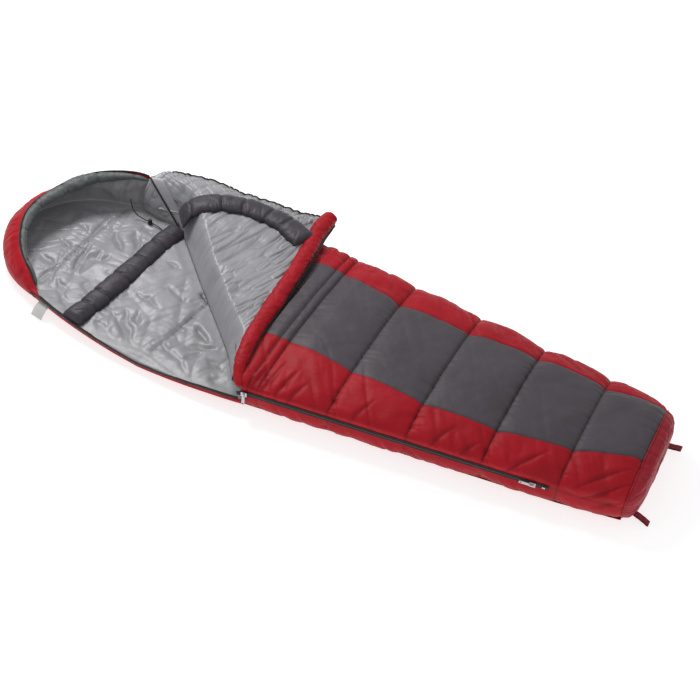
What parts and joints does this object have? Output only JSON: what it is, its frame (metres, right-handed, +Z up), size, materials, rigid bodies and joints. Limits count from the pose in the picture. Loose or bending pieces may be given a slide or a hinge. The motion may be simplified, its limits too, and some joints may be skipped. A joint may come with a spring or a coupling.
{
  "type": "mummy sleeping bag",
  "caption": "Hooded mummy sleeping bag laid out flat, with the corner of its quilted top thrown back to show the lining, a side zipper and a boxed foot.",
  "frame": {"origin": "on the flat underside, on the centreline, half way along the bag without the bulge of its foot", "axes": "+X from the hood to the foot, -Y to the zipper side, +Z up from the ground"},
  "size_m": [2.1634, 0.8062, 0.19],
  "materials": {
    "shell_red": "woven nylon, soft sheen",
    "shell_foot": "woven nylon, soft sheen",
    "panel_charcoal": "woven nylon, soft sheen",
    "lining_silver": "smooth taffeta lining",
    "hollow_fibre": "fluffy filling",
    "collar_charcoal": "woven nylon, matt",
    "binding_black": "woven tape, matt",
    "zipper_tape_black": "woven tape, matt",
    "zipper_coil_black": "moulded nylon",
    "slider_metal": "bright nickel",
    "webbing_red": "narrow webbing",
    "label_cloth": "woven satin",
    "cord_black": "braided cord",
    "lock_plastic": "moulded",
    "spring_steel": "wire"
  },
  "bodies": {
    "bag": {"bottom_shell": "shell_red", "top_side_panel_near": "shell_red", "top_side_panel_far": "shell_red", "lower_side_shell": "shell_red", "hood_shell": "shell_red", "shoulder_quilt_shell": "shell_red", "shoulder_wall_shell": "shell_red", "foot_end_panel": "shell_foot", "top_centre_panel": "panel_charcoal", "bottom_lining": "lining_silver", "top_lining": "lining_silver", "lower_side_lining": "lining_silver", "shoulder_quilt_lining": "lining_silver", "shoulder_wall_lining": "lining_silver", "hood_lining": "lining_silver", "foot_lining": "lining_silver", "bottom_insulation": "hollow_fibre", "top_insulation": "hollow_fibre", "lower_side_insulation": "hollow_fibre", "shoulder_quilt_insulation": "hollow_fibre", "shoulder_wall_insulation": "hollow_fibre", "hood_insulation": "hollow_fibre", "foot_insulation": "hollow_fibre", "neck_collar": "collar_charcoal", "hood_face_tube": "collar_charcoal", "zipper_draft_tube": "collar_charcoal", "zipper_garage_tab": "binding_black", "lower_zipper_tape": "zipper_tape_black", "upper_zipper_tape": "zipper_tape_black", "open_zipper_tape": "zipper_tape_black", "zipper_coil": "zipper_coil_black", "open_zipper_coil": "zipper_coil_black", "zipper_bottom_stop": "slider_metal", "open_zipper_stop": "slider_metal", "far_hanging_loop": "webbing_red", "near_hanging_loop": "webbing_red", "side_label": "label_cloth", "hood_drawcord": "cord_black", "cord_end_knot": "cord_black"},
    "flap": {"flap_side_panel": "shell_red", "flap_edge_tube": "shell_red", "flap_centre_panel": "panel_charcoal", "flap_lining": "lining_silver", "flap_insulation": "hollow_fibre", "flap_collar": "collar_charcoal", "flap_binding": "binding_black", "flap_zipper_tape": "zipper_tape_black", "flap_zipper_coil": "zipper_coil_black", "flap_top_stop": "slider_metal"},
    "upper_slider": {"upper_slider": "slider_metal"},
    "upper_pull": {"upper_pull": "slider_metal"},
    "lower_slider": {"lower_slider": "slider_metal"},
    "lower_pull": {"lower_pull": "slider_metal"},
    "cord_lock": {"cord_lock_barrel": "lock_plastic", "cord_lock_spring": "spring_steel"},
    "lock_button": {"cord_lock_button": "lock_plastic"}
  },
  "joints": [
    {"name": "flap_fold", "type": "hinge", "parent": "bag", "child": "flap", "pos_m": [-0.077, -0.345, 0.11715], "axis": [0.6923, -0.7216, 0], "range_deg": [0, 177]},
    {"name": "upper_slider_travel", "type": "slide", "parent": "bag", "child": "upper_slider", "axis": [0.993, 0.1181, 0], "range_m": [0, 0.4]},
    {"name": "upper_pull_swing", "type": "hinge", "parent": "upper_slider", "child": "upper_pull", "pos_m": [-0.0501, -0.35708, 0.074], "axis": [-0.993, -0.1181, 0], "range_deg": [0, 170]},
    {"name": "lower_slider_travel", "type": "slide", "parent": "bag", "child": "lower_slider", "axis": [0.993, 0.1181, 0], "range_m": [-0.4, 0]},
    {"name": "lower_pull_swing", "type": "hinge", "parent": "lower_slider", "child": "lower_pull", "pos_m": [0.79495, -0.25659, 0.074], "axis": [0, 0, 1], "range_deg": [0, 175]},
    {"name": "cord_lock_travel", "type": "slide", "parent": "bag", "child": "cord_lock", "axis": [0.9957, -0.0922, 0], "range_m": [-0.0065, 0.0065]},
    {"name": "lock_button_press", "type": "slide", "parent": "cord_lock", "child": "lock_button", "axis": [0, 0, -1], "range_m": [0, 0.003], "stiffness_N_per_m": 300, "springref_m": -0.002, "deforming": ["cord_lock_spring"]}
  ]
}
